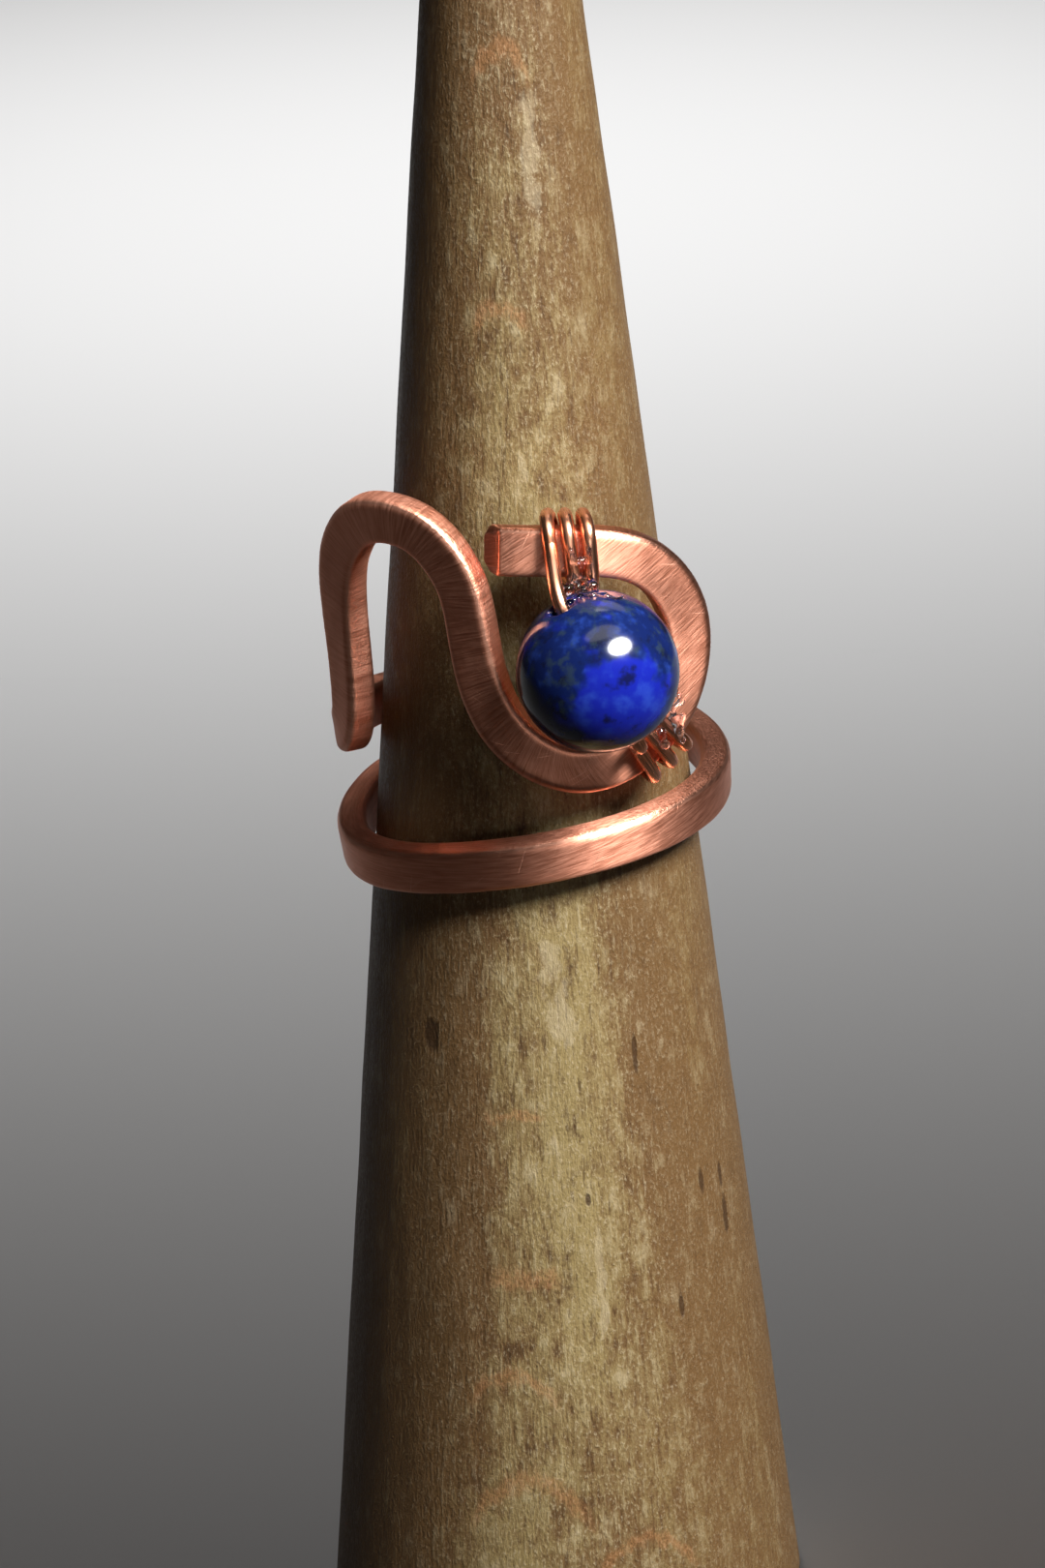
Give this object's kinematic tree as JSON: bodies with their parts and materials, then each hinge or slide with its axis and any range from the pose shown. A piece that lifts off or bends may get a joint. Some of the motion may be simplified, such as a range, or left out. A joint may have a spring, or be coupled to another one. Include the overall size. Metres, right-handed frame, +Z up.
{
  "type": "copper ring on a wooden display cone",
  "caption": "Finger ring bent from one flattened copper wire, with a round blue stone bead bound to its hook by thin wire, resting on a plain wooden display cone.",
  "frame": {"origin": "centre of the display cone's foot, on the surface it stands on", "axes": "+Z up along the cone's axis and the finger hole, -Y towards the front of the ring, +X to the right of someone who looks at the front"},
  "size_m": [0.0253, 0.03, 0.096],
  "materials": {
    "wood": "bare worn wood",
    "copper": "satin brushed copper",
    "bright_copper": "bright drawn copper",
    "lapis": "polished blue stone"
  },
  "bodies": {
    "root": {"display_cone": "wood", "ring_wire": "copper", "binding_wire": "bright_copper", "bead": "lapis"}
  },
  "joints": []
}
